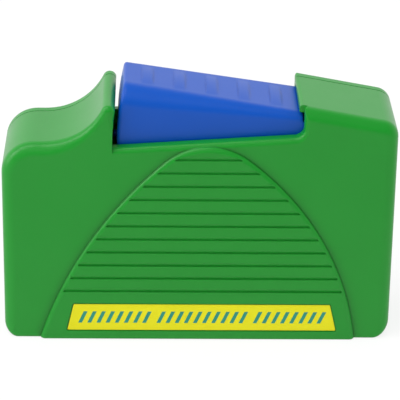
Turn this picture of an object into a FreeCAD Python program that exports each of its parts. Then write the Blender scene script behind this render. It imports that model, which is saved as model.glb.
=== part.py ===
import FreeCAD, Part
import math
import os

# Fibre optic cleaning box: a hand-held cassette that wipes connectors on a fresh stretch of tape.
# X runs along the case, Y from its front to its back and Z up. Sizes are in millimetres.
# The origin is under the middle of the case, on the surface that it stands on.

# Case seen from the front
case_length = 115.0
bottom_left_round = 4.0
bottom_right_round = 5.0
shoulder_height = 62.15
shoulder_round = 9.6
scoop_inset = 11.9
hump_height = 74.15
hump_round_spare = 0.2
hump_trim = 0.15
hood_overhang = 1.4
hood_height = 74.0
hood_slope = math.radians(10.4)
hood_round = 5.0
hood_edge_round = 1.0
crest_round = 4.0
valley_height = 67.5
valley_round = 2.0

# Case from front to back
case_depth = 30.0
cover_depth = 3.6
wall = 2.2
edge_round = 3.6
foot_edge_round = 0.6
hump_edge_round = 1.8
cover_edge_round = 1.0
parting_groove = 0.3

# Lever and its opening
pivot_inset = 13.5
pivot_z = 64.0
press_angle = math.radians(10.0)
lever_inset = 33.5
lever_gap = 1.3
lever_end_drop = 1.9
lever_top = 75.26
lever_slope = math.atan(0.1473)
lever_reach = 14.3
lever_foot = 57.6
lever_foot_rise = math.radians(2.2)
lever_wall = 1.8
lever_top_wall = 2.0
lever_corner_round = 0.9
lever_front_round_left = 6.0
lever_front_round_right = 2.4
finger_bar_count = 5
finger_bar_inset = 7.5
finger_bar_pitch = 9.35
finger_bar_width = 3.3
finger_bar_height = 0.35
finger_bar_sink = 0.1
lever_arm_wall = 2.4
lever_arm_lap = 5.7
skirt_wall = 1.6
side_clearance = 0.3
opening_foot = 61.1
opening_slope = math.radians(3.9)
opening_end_gap = 0.3
opening_round = 2.75
opening_edge_round = 1.7
cover_opening_rise = 1.8
lip_height = 3.0
well_wall = 2.0
well_foot = 57.2
hook_reach = 3.0
hook_height = 1.6
hook_side_gap = 0.8

# Arch grip on the front and the back
arch_left_inset = 10.42
arch_right_inset = 10.28
arch_apex_x = 2.6
arch_apex_z = 62.13
arch_apex_radius = 19.25
arch_left_radius = 128.85
arch_right_radius = 86.25
panel_proud = 1.2
panel_edge_round = 1.6
panel_foot_round = 0.5
groove_count = 11
groove_first = 16.33
groove_pitch = 4.24
groove_width = 1.2
groove_depth = 0.5
groove_margin = 1.1

# Label at the foot of the front grip
label_left_inset = 7.98
label_right_inset = 5.52
label_bottom = 2.8
label_top = 11.9
label_taper = 2.1
label_round = 0.6
label_recess = 0.4
label_thickness = 0.2
label_gap = 0.3

# Sector gear on the lever and drive gear on the take-up axis
gear_module = 0.8
sector_teeth = 78
sector_teeth_before = 2
sector_teeth_after = 4
gear_teeth = 20
pressure_angle = math.radians(20.0)
tooth_root = 1.25
tooth_tip = 1.0
backlash = 0.14
sector_thickness = 2.0
sector_lug_half = 3.0
gear_thickness = 1.7
gear_hub_wall = 1.4
peg_radius = 1.25
peg_reaches = (10.0, 5.6)

# Shutter arm and shutter
arm_length = 57.0
arm_lean = math.radians(4.0)
arm_half_width = 2.0
arm_pin_radius = 1.2
arm_pin_length = 1.6
shutter_thickness = 0.8
shutter_lap = 0.1
shutter_left_margin = 3.4
shutter_right_margin = 0.8
shutter_lift = 0.2
shutter_window_margin = 0.2
tab_thickness = 1.2
tab_gap = 0.3
tab_half_width = 2.6
tab_height = 9.4
tab_slot_clearance = 0.15
tab_slot_reach = 2.4
rail_width = 1.0
rail_height = 1.3
rail_clearance = 0.3

# Wiping slots in the underside
slot_length = 9.0
slot_width = 3.0
slot_edge = 1.0
slot_chamfer = 0.5
plate_end_margin = 10.5
plate_side_margin = 4.0
plate_ledge = 2.5
plate_thickness = 1.4
plate_clearance = 0.1

# Reels and tape
takeup_reach = 14.0
supply_inset = 29.5
flange_radius = 18.0
flange_thickness = 0.9
reel_core_wall = 1.3
reel_gap = 0.4
supply_roll_margin = 2.5
takeup_roll_radius = 9.0
tape_side_gap = 0.2
tape_thickness = 0.15
tape_roll_gap = 0.3
roll_seat = 0.05
spindle_radius = 2.0
spindle_boss_wall = 2.0
spindle_socket = 4.6
pin_seat = 0.03
running_clearance = 0.06

# Wrap-spring clutch inside the take-up core
clutch_recess_room = 1.8
clutch_recess_floor = 0.5
clutch_split = 3.0
clutch_split_gap = 0.2
clutch_wire = 0.35
clutch_fit = 0.12
clutch_turns = 5

# Pad, its holder and the tape guides
pad_half_x = 9.0
pad_lift = 0.45
pad_height = 3.1
pad_round = 0.8
holder_half_x = 11.0
holder_height = 5.2
holder_skirt = 0.7
holder_skirt_gap = 0.25
holder_peg_x = 6.0
holder_peg_radius = 1.3
holder_peg_length = 4.0
holder_peg_clearance = 0.08
holder_post_radius = 2.5
guide_x = 13.5
guide_radius = 1.5
guide_boss = 3.0
guide_boss_gap = 0.3

# Springs
coil_steps = 12
coil_sides = 5
spring_shelf_top = 48.5
spring_shelf_thickness = 2.0
spring_shelf_half = 6.0
spring_shelf_reach = 6.0
spring_gusset = 2.0
spring_gusset_drop = 10.0
spring_stub_radius = 2.6
spring_stub_height = 3.0
spring_radius = 4.0
spring_wire = 0.5
spring_turns = 7
spring_pad_radius = 5.2
spring_pad_bottom = 71.5
spring_top_gap = 0.3
rib_thickness = 1.2
rib_places = (-12.0, 14.0)
rib_bottom = 67.0
brake_thickness = 0.3
brake_width = 4.6
brake_bottom = 15.0
brake_top = 44.4
brake_post = 4.0
brake_jaw = 1.8
brake_gap = 0.3
brake_slot_clearance = 0.05

# Fasteners
screw_foot_gap = 0.2
screw_foot_reaches = (-5.0, 3.0)
screw_shoulder_inset = 8.0
screw_shoulder_drop = 10.65
screw_hood_inset = 5.9
screw_hood_drop = 7.0
screw_boss = 2.6
screw_radius = 1.05
screw_pilot = 1.1
screw_hole = 1.3
screw_length = 9.0
screw_depth_spare = 1.0
screw_head_radius = 2.4
screw_head_height = 1.5
screw_recess_radius = 2.7
screw_recess_wall = 1.5
screw_recess_depth = 1.8

# Places worked out from the sizes above
left_x = -case_length / 2
right_x = case_length / 2
front_y = -case_depth / 2
back_y = case_depth / 2
panel_front_y = front_y - panel_proud
panel_back_y = back_y + panel_proud
parting_y = back_y - cover_depth
inner_front_y = front_y + wall
inner_back_y = back_y - wall
floor_z = wall
pivot_x = right_x - pivot_inset
scoop_start = left_x + scoop_inset
hump_round = hump_edge_round + hump_round_spare
end_z = pivot_z - lever_end_drop
lever_radius = pivot_x - left_x - lever_inset
lever_right = pivot_x - lever_reach
lever_arm_half = spindle_radius + lever_arm_wall
well_radius = lever_radius + lever_gap
opening_right = lever_right + opening_end_gap
hood_start = opening_right - hood_overhang
opening_foot_x = pivot_x - math.sqrt(well_radius ** 2 - (opening_foot - end_z) ** 2)
opening_end_z = opening_foot + (opening_right - opening_foot_x) * math.tan(opening_slope)
valley_z = max(valley_height, opening_end_z + wall)
arch_left = left_x + arch_left_inset
arch_right = right_x - arch_right_inset
label_left = arch_left + label_left_inset
label_right = arch_right - label_right_inset
lever_half = parting_y - side_clearance
skirt_inner = lever_half - skirt_wall
sector_back_y = skirt_inner
sector_front_y = sector_back_y - sector_thickness
reel_half = sector_front_y - reel_gap
tape_room = reel_half - flange_thickness
tape_half = tape_room - tape_side_gap
takeup_x = pivot_x - takeup_reach
supply_x = left_x + supply_inset
spindle_boss = spindle_radius + spindle_boss_wall
gear_hub = spindle_radius + gear_hub_wall
clutch_recess_radius = gear_hub + clutch_recess_room
reel_core = clutch_recess_radius + reel_core_wall
supply_roll_radius = flange_radius - supply_roll_margin
gear_back_y = sector_front_y + gear_thickness
sector_pitch_radius = gear_module * sector_teeth / 2
gear_pitch_radius = gear_module * gear_teeth / 2
gear_distance = sector_pitch_radius + gear_pitch_radius
mesh_angle = math.asin((pivot_x - takeup_x) / gear_distance)
reel_z = pivot_z - gear_distance * math.cos(mesh_angle)
peg_places = [pivot_x - reach for reach in peg_reaches]
slot_spacing = 2 * (tape_half - slot_edge) - slot_width
plate_half_x = slot_length / 2 + plate_end_margin
plate_half_y = slot_spacing / 2 + slot_width / 2 + plate_side_margin
arm_end_x = pivot_x - arm_length * math.sin(arm_lean)
arm_end_z = pivot_z - arm_length * math.cos(arm_lean)
shutter_travel = arm_length * (math.sin(press_angle - arm_lean) + math.sin(arm_lean))
shutter_bottom = floor_z + shutter_lift
shutter_top = shutter_bottom + shutter_thickness
shutter_half = tape_room + holder_skirt + shutter_lap
shutter_left = -shutter_travel - slot_length / 2 - shutter_left_margin
shutter_right = arm_end_x + tab_half_width + shutter_right_margin
tab_front_y = sector_back_y + tab_gap
tab_back_y = tab_front_y + tab_thickness
pad_bottom = shutter_top + tape_thickness + pad_lift
pad_top = pad_bottom + pad_height
guide_z = pad_bottom + guide_radius
brake_x = supply_x - flange_radius - brake_gap - brake_thickness
pin_end = wall / 2
screw_foot_z = shutter_top + screw_boss + screw_foot_gap
screw_places = (
    (supply_x + screw_foot_reaches[0], screw_foot_z),
    (takeup_x + screw_foot_reaches[1], screw_foot_z),
    (left_x + screw_shoulder_inset, shoulder_height - screw_shoulder_drop),
    (right_x - screw_hood_inset, pivot_z - screw_hood_drop),
)

# Two places nearer than this are the same place
same = 1e-4


def at(x, z, y=0.0):
    """Point given the way the case is seen from the front: across, up and then back."""
    return FreeCAD.Vector(x, y, z)


def rounded_path(points):
    """Edges along (x, z, radius) points, with a tangent arc at each inner one."""
    edges = []
    last = at(points[0][0], points[0][1])
    for before, here, after in zip(points, points[1:], points[2:]):
        corner = at(here[0], here[1])
        radius = here[2]
        arrive = (corner - at(before[0], before[1])).normalize()
        leave = (at(after[0], after[1]) - corner).normalize()
        half_turn = arrive.getAngle(leave) / 2
        reach = radius * math.tan(half_turn)
        start = corner - arrive * reach
        edges.append(Part.makeLine(last, start))
        last = corner + leave * reach
        if radius > 0:
            inward = (leave - arrive).normalize()
            middle = corner + inward * (radius / math.cos(half_turn) - radius)
            edges.append(Part.Arc(start, middle, last).toShape())
    edges.append(Part.makeLine(last, at(points[-1][0], points[-1][1])))
    return edges


def rounded_loop(corners):
    """Closed wire through (x, z, radius) corners."""
    first = corners[0]
    last = corners[-1]
    seam = ((first[0] + last[0]) / 2, (first[1] + last[1]) / 2, 0)
    return Part.Wire(rounded_path([seam] + list(corners) + [seam]))


def arc_about(centre, start, end):
    """Shorter arc from start to end about a centre."""
    radius = (start - centre).Length
    middle = centre + ((start - centre) + (end - centre)).normalize() * radius
    return Part.Arc(start, middle, end).toShape()


def prism(outline, y0, y1):
    """Solid of an outline seen from the front, from depth y0 to depth y1."""
    face = outline if outline.ShapeType == "Face" else Part.Face(outline)
    face = face.copy()
    face.translate(at(0, 0, y0))
    return face.extrude(at(0, 0, y1 - y0))


def cylinder(x, z, radius, y0, y1):
    """Round solid along the depth of the case."""
    return Part.makeCylinder(radius, y1 - y0, at(x, z, y0), at(0, 0, 1))


def tube(x, z, outer, inner, y0, y1):
    """Ring along the depth of the case."""
    return cylinder(x, z, outer, y0, y1).cut(cylinder(x, z, inner, y0, y1))


def block(x0, x1, y0, y1, z0, z1):
    """Box between two corners."""
    return Part.makeBox(x1 - x0, y1 - y0, z1 - z0, at(x0, z0, y0))


def edges_at(shape, y):
    """Edges of a shape that lie in the plane at depth y."""
    return [edge for edge in shape.Edges if all(abs(v.Y - y) < same for v in edge.Vertexes)]


def inset(outline, distance):
    """Outline moved inwards by a distance."""
    return Part.Face(outline).makeOffset2D(-distance)


def mirrored(shape):
    """Shape turned front to back."""
    return shape.mirror(at(0, 0), at(0, 0, 1))


def rounded_rim(body, y, radius_at):
    """Body with the edges at depth y rounded, the radius running from the value at one corner to the next."""
    rounded = []
    for index, edge in enumerate(body.Edges, 1):
        ends = [edge.firstVertex(), edge.lastVertex()]
        if all(abs(v.Y - y) < same for v in ends):
            rounded.append((index, *[radius_at(v.X, v.Z) for v in ends]))
    document = FreeCAD.newDocument()
    base = document.addObject("Part::Feature", "body")
    base.Shape = body
    rim = document.addObject("Part::Fillet", "rim")
    rim.Base = base
    rim.Edges = rounded
    document.recompute()
    result = rim.Shape.copy()
    FreeCAD.closeDocument(document.Name)
    return result


def coil(radius, wire, turns, length):
    """Open coil spring of that whole length, standing on the origin along Z, its wire in flat facets."""
    steps = turns * coil_steps
    rings = []
    for step in range(steps + 1):
        turn = 2 * math.pi * step / coil_steps
        rise = wire + (length - 2 * wire) * step / steps
        ring = []
        for corner in range(coil_sides):
            around = 2 * math.pi * corner / coil_sides
            reach = radius + wire * math.cos(around)
            height = rise + wire * math.sin(around)
            ring.append(at(reach * math.cos(turn), height, reach * math.sin(turn)))
        rings.append(ring)
    faces = [Part.Face(Part.makePolygon(ring + ring[:1])) for ring in (rings[0], rings[-1])]
    for low, high in zip(rings, rings[1:]):
        for corner in range(coil_sides):
            after = (corner + 1) % coil_sides
            for facet in ((low[corner], low[after], high[after]), (low[corner], high[after], high[corner])):
                faces.append(Part.Face(Part.makePolygon(facet + facet[:1])))
    return Part.Solid(Part.Shell(faces))


def hood_z(x):
    """Height of the hood's top at x."""
    return hood_height - (x - hood_start) * math.tan(hood_slope)


def case_outline():
    """Case seen from the front, with a shallow valley between hump and hood where the lever goes."""
    crest_x = hood_start - 2 * crest_round
    hump_z = hump_height - hump_round
    reach = well_radius + hump_round - hump_trim
    hump_x = pivot_x - math.sqrt(reach ** 2 - (hump_z - end_z) ** 2)
    rise = hump_z - shoulder_height
    run = hump_x - scoop_start
    scoop_radius = (run ** 2 + rise ** 2 - hump_round ** 2) / (2 * (rise + hump_round))
    hump = at(hump_x, hump_z)
    scoop = at(scoop_start, shoulder_height + scoop_radius)
    scoop_top = hump + (scoop - hump).normalize() * hump_round
    inward = (at(pivot_x, end_z) - hump).normalize()
    nose = hump + inward * hump_round
    valley_x = nose.x + (nose.z - valley_z) * inward.z / inward.x
    sides = rounded_path([
        (scoop_start, shoulder_height, 0),
        (left_x, shoulder_height, shoulder_round),
        (left_x, 0, bottom_left_round),
        (right_x, 0, bottom_right_round),
        (right_x, hood_z(right_x), hood_round),
        (crest_x, hood_z(crest_x), crest_round),
        (crest_x, valley_z, valley_round),
        (valley_x, valley_z, valley_round),
        (nose.x, nose.z, 0),
    ])
    crown = [arc_about(hump, nose, scoop_top), arc_about(scoop, scoop_top, sides[0].Vertexes[0].Point)]
    return Part.Wire(sides + crown)


def front_edge_radius(x, z):
    """Rounding of the case's front edge at a corner of its outline: small at the foot and on the hump."""
    if z < same:
        return foot_edge_round
    if x < 0 and z > shoulder_height + same:
        return hump_edge_round
    return edge_round


def opening_outline(left=0.0, below=0.0, right=0.0):
    """Lever opening seen from the front, grown outwards at its left, its foot and its right."""
    centre = at(pivot_x, end_z)
    radius = well_radius + left
    foot_z = opening_foot - below
    top_z = hump_height + lever_gap + lip_height
    foot_x = pivot_x - math.sqrt(radius ** 2 - (foot_z - end_z) ** 2)
    top_x = pivot_x - math.sqrt(radius ** 2 - (top_z - end_z) ** 2)
    right_x = opening_right + right
    right_z = foot_z + (right_x - foot_x) * math.tan(opening_slope)
    path = rounded_path([
        (top_x, top_z, 0),
        (right_x, top_z, 0),
        (right_x, right_z, opening_round),
        (foot_x, foot_z, 0),
    ])
    return Part.Wire(path + [arc_about(centre, at(foot_x, foot_z), at(top_x, top_z))])


def opening_cut(below, right):
    """Tool for the opening in the front wall, which rounds the wall's outer edge at foot and right."""
    rim = opening_outline(0, below, right)
    through = prism(rim, front_y, -parting_y)
    flare = 2 * opening_edge_round
    apron = prism(opening_outline(0, below + flare, right + flare), front_y - flare, front_y)
    tool = through.fuse(apron).removeSplitter()
    rim.translate(at(0, 0, front_y))
    inner = []
    for edge in edges_at(tool, front_y):
        middle = edge.valueAt((edge.FirstParameter + edge.LastParameter) / 2)
        if rim.distToShape(Part.Vertex(middle))[0] < same:
            inner.append(edge)
    return tool.makeFillet(opening_edge_round, inner)


def well_cut():
    """Tool for the lever well between the two walls, which leaves the hood's own edge forward."""
    outline = opening_outline(right=hood_start - opening_right)
    return prism(outline, -parting_y, parting_y)


def hood_edge_cut(x, y0, y1):
    """Tool that rounds the hood's upper left edge, where it starts at x, between two depths."""
    upward = at(math.sin(hood_slope), math.cos(hood_slope))
    middle_x = x + hood_edge_round
    middle = at(middle_x, hood_z(middle_x) - hood_edge_round / math.cos(hood_slope))
    high = middle + upward * hood_edge_round
    low = middle - at(hood_edge_round, 0)
    outer = [low, low - at(hood_edge_round, 0), high + upward * hood_edge_round - at(2 * hood_edge_round, 0)]
    outer += [high + upward * hood_edge_round, high]
    edges = [Part.makeLine(start, end) for start, end in zip(outer, outer[1:])]
    return prism(Part.Wire(edges + [arc_about(middle, high, low)]), y0, y1)


def well_sides(y0, y1):
    """Lip under the opening's edge and the wall that closes the hump, between two depths."""
    lip = prism(opening_outline(0, lip_height, lip_height), y0, y1)
    band = prism(opening_outline(well_wall, opening_foot - well_foot, 0), y0, y1)
    clear = prism(opening_outline(0, opening_foot, lip_height), y0, y1)
    return lip, band.cut(clear)


def arch_outline():
    """Arch grip: a round apex that runs into two long flank arcs, one to each foot."""
    apex = at(arch_apex_x, arch_apex_z - arch_apex_radius)
    joints = []
    flanks = []
    for foot_x, radius, side in ((arch_left, arch_left_radius, 1), (arch_right, arch_right_radius, -1)):
        foot = at(foot_x, 0)
        across = apex - foot
        reach = radius - arch_apex_radius
        along = (radius ** 2 - reach ** 2 + across.Length ** 2) / (2 * across.Length)
        aside = math.sqrt(radius ** 2 - along ** 2)
        ahead = FreeCAD.Vector(across).normalize()
        turned = at(ahead.z, -ahead.x) * side
        centre = foot + ahead * along + turned * aside
        joint = centre + (apex - centre).normalize() * radius
        joints.append(joint)
        flanks.append(arc_about(centre, foot, joint))
    top = Part.Arc(joints[0], at(arch_apex_x, arch_apex_z), joints[1]).toShape()
    base = Part.makeLine(at(arch_right, 0), at(arch_left, 0))
    return Part.Wire(Part.__sortEdges__([flanks[0], top, flanks[1], base]))


def grip_panel():
    """Raised front grip with its rounded edge, sunk into the wall that carries it."""
    panel = prism(arch_outline(), panel_front_y, front_y + wall)
    rim = [edge for edge in edges_at(panel, panel_front_y) if edge.BoundBox.ZMax > same]
    panel = panel.makeFillet(panel_edge_round, rim)
    foot = [edge for edge in edges_at(panel, panel_front_y) if edge.BoundBox.ZMax < same]
    return panel.makeFillet(panel_foot_round, foot)


def grip_grooves():
    """Finger grooves across the front grip, each with a level lower side and a slanted upper one."""
    deep_y = panel_front_y + groove_depth
    field = prism(inset(arch_outline(), groove_margin), panel_front_y, deep_y)
    bars = []
    for index in range(groove_count):
        low = groove_first + index * groove_pitch - groove_width / 2
        corners = [
            at(arch_left, low, panel_front_y),
            at(arch_left, low, deep_y),
            at(arch_left, low + groove_width, panel_front_y),
        ]
        section = Part.Face(Part.makePolygon(corners + corners[:1]))
        bars.append(section.extrude(at(arch_right - arch_left, 0)))
    return field.common(Part.makeCompound(bars))


def label_outline():
    """Label seen from the front, a little wider at its foot."""
    return rounded_loop([
        (label_left, label_bottom, label_round),
        (label_right, label_bottom, label_round),
        (label_right - label_taper, label_top, label_round),
        (label_left + label_taper, label_top, label_round),
    ])


def spindle_hole(x, z, radius, y0, y1):
    """Blind hole for a steel pin, with its seat clearance."""
    return cylinder(x, z, radius + pin_seat, y0, y1)


def window_cut():
    """Stepped window in the floor that the slot plate drops into from inside."""
    seat = floor_z - plate_thickness
    open_x = plate_half_x - plate_ledge
    open_y = plate_half_y - plate_ledge
    upper = block(-plate_half_x, plate_half_x, -plate_half_y, plate_half_y, seat, floor_z)
    return upper.fuse(block(-open_x, open_x, -open_y, open_y, 0, seat))


def spring_shelf():
    """Shelf for the return spring, with its stub and the gusset under it."""
    low = spring_shelf_top - spring_shelf_thickness
    half = spring_shelf_half
    shelf = block(-half, half, inner_front_y, spring_shelf_reach, low, spring_shelf_top)
    stub = Part.makeCylinder(spring_stub_radius, spring_stub_height, at(0, spring_shelf_top))
    side = -spring_gusset / 2
    corners = [
        at(side, low, inner_front_y),
        at(side, low, spring_shelf_reach),
        at(side, low - spring_gusset_drop, inner_front_y),
    ]
    web = Part.Face(Part.makePolygon(corners + corners[:1])).extrude(at(spring_gusset, 0))
    return [shelf, stub, web]


def brake_holder():
    """Slotted post that grips the top of the brake spring."""
    right = brake_x + brake_thickness + brake_jaw
    reach = -reel_half + brake_width
    low = brake_top - brake_post
    post = block(brake_x - brake_jaw, right, inner_front_y, reach, low, brake_top)
    slot_left = brake_x - brake_slot_clearance
    slot_right = brake_x + brake_thickness + brake_slot_clearance
    return post.cut(block(slot_left, slot_right, -reel_half, reach, low, brake_top))


def shutter_rails():
    """Two floor rails that keep the shutter straight, short of its arm on the right."""
    near = shutter_half + rail_clearance
    right = takeup_x - screw_boss
    top = floor_z + rail_height
    rails = []
    for y0 in (near, -near - rail_width):
        rails.append(block(shutter_left, -plate_half_x, y0, y0 + rail_width, floor_z / 2, top))
        rails.append(block(plate_half_x, right, y0, y0 + rail_width, floor_z / 2, top))
    return rails


def front_shell():
    """Deep half of the case: front, sides, floor, hood and hump, open at the back."""
    outline = case_outline()
    body = rounded_rim(prism(outline, front_y, parting_y), front_y, front_edge_radius)
    hollow = prism(inset(outline, wall), inner_front_y, parting_y)
    lip = well_sides(inner_front_y, -parting_y)[0]
    band = well_sides(inner_front_y, parting_y)[1]
    body = body.cut(hollow.cut(lip).cut(band))
    body = body.cut([opening_cut(0, 0), well_cut(), window_cut()])
    wall_edge = hood_edge_cut(opening_right, front_y, -parting_y)
    body = body.cut([wall_edge, hood_edge_cut(hood_start, -parting_y, parting_y)])
    body = body.fuse(grip_panel())
    recess = prism(label_outline(), panel_front_y, panel_front_y + label_recess)
    body = body.cut([grip_grooves(), recess])
    added = spring_shelf() + shutter_rails() + [brake_holder()]
    drilled = []
    for x in (takeup_x, supply_x):
        face = -reel_half - side_clearance
        added.append(cylinder(x, reel_z, spindle_boss, inner_front_y, face))
        drilled.append(spindle_hole(x, reel_z, spindle_radius, face - spindle_socket, face))
    for x in (guide_x, -guide_x):
        face = -shutter_half - guide_boss_gap
        added.append(cylinder(x, guide_z, guide_boss, inner_front_y, face))
        drilled.append(spindle_hole(x, guide_z, guide_radius, inner_front_y, face))
    for x, z in screw_places:
        added.append(cylinder(x, z, screw_boss, inner_front_y, parting_y))
        deep = screw_length + screw_depth_spare
        drilled.append(cylinder(x, z, screw_pilot, parting_y - deep, parting_y))
    for x in (holder_peg_x, -holder_peg_x):
        peg_end = inner_front_y + holder_peg_length
        added.append(cylinder(x, holder_middle(), holder_peg_radius, inner_front_y, peg_end))
    added.append(cylinder(pivot_x, pivot_z, lever_arm_half, inner_front_y, -parting_y))
    drilled.append(spindle_hole(pivot_x, pivot_z, spindle_radius, inner_front_y - pin_end, -parting_y))
    return body.fuse(added).cut(drilled).removeSplitter()


def rear_cover():
    """Shallow half of the case behind the parting line, with the same grip and the screw recesses."""
    outline = case_outline()
    body = prism(outline, parting_y, back_y)
    body = body.makeFillet(cover_edge_round, edges_at(body, back_y))
    hollow = prism(inset(outline, wall), parting_y, inner_back_y)
    lip, band = well_sides(parting_y, inner_back_y)
    groove_y = parting_y + parting_groove
    rim = prism(outline, parting_y, groove_y)
    rim = rim.cut(prism(inset(outline, parting_groove), parting_y, groove_y))
    body = body.cut([hollow.cut(lip).cut(band), rim])
    body = body.cut(mirrored(opening_cut(-cover_opening_rise, hood_start - opening_right)))
    body = body.cut(hood_edge_cut(hood_start, parting_y, back_y))
    body = body.fuse(mirrored(grip_panel()))
    body = body.cut(mirrored(grip_grooves()))
    added = []
    drilled = []
    for x, face in ((supply_x, reel_half + side_clearance), (takeup_x, gear_back_y + side_clearance)):
        added.append(cylinder(x, reel_z, spindle_boss, face, inner_back_y))
        drilled.append(spindle_hole(x, reel_z, spindle_radius, face, inner_back_y))
    for x, z in screw_places:
        added.append(cylinder(x, z, screw_recess_radius + screw_recess_wall, parting_y, inner_back_y))
        seat = back_y - screw_recess_depth
        drilled.append(cylinder(x, z, screw_hole, parting_y, seat))
        drilled.append(cylinder(x, z, screw_recess_radius, seat, panel_back_y))
    added.append(cylinder(0, holder_middle(), holder_post_radius, reel_half, inner_back_y))
    added.append(cylinder(pivot_x, pivot_z, lever_arm_half, parting_y, inner_back_y))
    drilled.append(spindle_hole(pivot_x, pivot_z, spindle_radius, parting_y, inner_back_y + pin_end))
    return body.fuse(added).cut(drilled).removeSplitter()


def front_label():
    """Label in its recess at the foot of the front grip."""
    seat = panel_front_y + label_recess
    return prism(inset(label_outline(), label_gap), seat - label_thickness, seat)


def lever_slope_drop(x):
    """How far the lever's top has dropped at x from its height over the origin."""
    return x * math.tan(lever_slope)


def lever_profile(side, top, right, foot):
    """Lever seen from the front, moved in from its left end, its top and its right end."""
    centre = at(pivot_x, end_z)
    radius = lever_radius - side
    foot_x = pivot_x - math.sqrt(radius ** 2 - (foot - end_z) ** 2)
    slope = math.tan(lever_slope)
    drop = lever_top - top / math.cos(lever_slope)
    lean = 1 + slope ** 2
    reach = pivot_x + slope * (drop - end_z)
    inside = reach ** 2 - lean * (pivot_x ** 2 + (drop - end_z) ** 2 - radius ** 2)
    top_x = (reach - math.sqrt(inside)) / lean
    top_z = drop - slope * top_x
    right_x = lever_right - right
    foot_right = foot + (right_x - foot_x) * math.tan(lever_foot_rise)
    path = rounded_path([
        (top_x, top_z, 0),
        (right_x, drop - slope * right_x, 0),
        (right_x, foot_right, 0),
        (foot_x, foot, 0),
    ])
    return Part.Wire(path + [arc_about(centre, at(foot_x, foot), at(top_x, top_z))])


def lever_arm(y0, y1):
    """Side arm from the lever's block to the pivot."""
    half = lever_arm_half
    bar = block(lever_right - lever_arm_lap, pivot_x, y0, y1, pivot_z - half, pivot_z + half)
    return bar.fuse(cylinder(pivot_x, pivot_z, half, y0, y1))


def lever_front_round(x):
    """Rounding of the lever's front top edge at x, which widens towards the free end."""
    left = pivot_x - lever_radius
    share = (x - left) / (lever_right - left)
    return lever_front_round_left + (lever_front_round_right - lever_front_round_left) * share


def lever_block(side, top, right, foot, half):
    """Lever without its arms, moved in by the three distances, its front top edge rounded all along."""
    body = prism(lever_profile(side, top, right, foot), -half, half)
    for edge in edges_at(body, -half):
        ends = [edge.firstVertex(), edge.lastVertex()]
        level = lever_top - top / math.cos(lever_slope)
        if all(abs(v.Z + lever_slope_drop(v.X) - level) < same for v in ends):
            radii = [lever_front_round(v.X) - side for v in ends]
            return body.makeFillet(radii[0], radii[1], [edge])


def finger_bars():
    """Low bars across the lever's top, each crowned from front to back."""
    along = at(math.cos(lever_slope), -math.sin(lever_slope))
    upward = at(math.sin(lever_slope), math.cos(lever_slope))
    bars = []
    for index in range(finger_bar_count):
        x = lever_right - finger_bar_inset - index * finger_bar_pitch
        side = at(x, lever_top - lever_slope_drop(x)) - along * (finger_bar_width / 2)
        front = lever_front_round(x) - lever_half
        back = lever_half - lever_corner_round
        ends = [side - upward * finger_bar_sink + at(0, 0, y) for y in (front, back)]
        crown = side + upward * finger_bar_height + at(0, 0, (front + back) / 2)
        edges = [Part.Arc(ends[0], crown, ends[1]).toShape(), Part.makeLine(ends[1], ends[0])]
        bars.append(Part.Face(Part.Wire(edges)).extrude(along * finger_bar_width))
    return bars


def lever():
    """Press lever: an upside-down tray with two arms to the pivot, a spring pad, ribs and hooks."""
    body = lever_block(0, 0, 0, lever_foot, lever_half)
    rounded = []
    for edge in body.Edges:
        ends = [v.Point for v in edge.Vertexes]
        span = ends[1] - ends[0]
        raised = all(p.z > lever_top - lever_slope_drop(p.x) - same for p in ends)
        behind = all(p.y > lever_half - same for p in ends)
        free = min(p.x for p in ends) < lever_right - same
        lengthwise = abs(span.x) > max(abs(span.y), abs(span.z))
        if free and ((raised and behind) or (not lengthwise and (raised or abs(span.z) > same))):
            rounded.append(edge)
    body = body.makeFillet(lever_corner_round, rounded).fuse(finger_bars())
    below = lever_foot - lever_wall
    inner = lever_block(lever_wall, lever_top_wall, lever_wall, below, skirt_inner)
    pad = Part.makeCylinder(spring_pad_radius, lever_top - spring_pad_bottom, at(0, spring_pad_bottom))
    ribs = []
    for x in rib_places:
        half = rib_thickness / 2
        ribs.append(block(x - half, x + half, -skirt_inner, skirt_inner, rib_bottom, lever_top))
    inside = Part.makeCompound([pad.fuse(ribs)]).common(inner)
    stub_low = spring_pad_bottom - spring_stub_height
    stub = Part.makeCylinder(spring_stub_radius, spring_stub_height, at(0, stub_low))
    body = body.cut(inner).fuse([inside, stub])
    parts = [lever_arm(skirt_inner, lever_half), lever_arm(-lever_half, -skirt_inner)]
    hook_top = well_foot - side_clearance
    hook_low = hook_top - hook_height
    hook_left = pivot_x - lever_radius - hook_reach
    stem_left = pivot_x - math.sqrt(lever_radius ** 2 - (hook_low - end_z) ** 2)
    stem_right = pivot_x - lever_radius + lever_wall
    near = reel_half + hook_side_gap
    far = lever_half - lever_corner_round
    for y0, y1 in ((near, far), (-far, -near)):
        parts.append(block(hook_left, stem_right, y0, y1, hook_low, hook_top))
        parts.append(block(stem_left, stem_right, y0, y1, hook_top, lever_foot + lever_wall))
    for x in peg_places:
        parts.append(cylinder(x, pivot_z, peg_radius, sector_front_y, skirt_inner))
    bore = cylinder(pivot_x, pivot_z, spindle_radius + running_clearance, -lever_half, lever_half)
    return body.fuse(parts).cut(bore).removeSplitter()


def pivot_pin():
    """Steel axle of the lever, held in the shell and the cover."""
    return cylinder(pivot_x, pivot_z, spindle_radius, inner_front_y - pin_end, inner_back_y + pin_end)


def flank_angle(teeth, radius):
    """Half of a tooth's width as an angle, at a radius, for an involute tooth with its backlash."""
    pitch = gear_module * teeth / 2
    base = pitch * math.cos(pressure_angle)
    steep = math.acos(min(1.0, base / radius))
    half = math.pi / (2 * teeth) - backlash / (4 * pitch)
    return half + (math.tan(pressure_angle) - pressure_angle) - (math.tan(steep) - steep)


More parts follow.
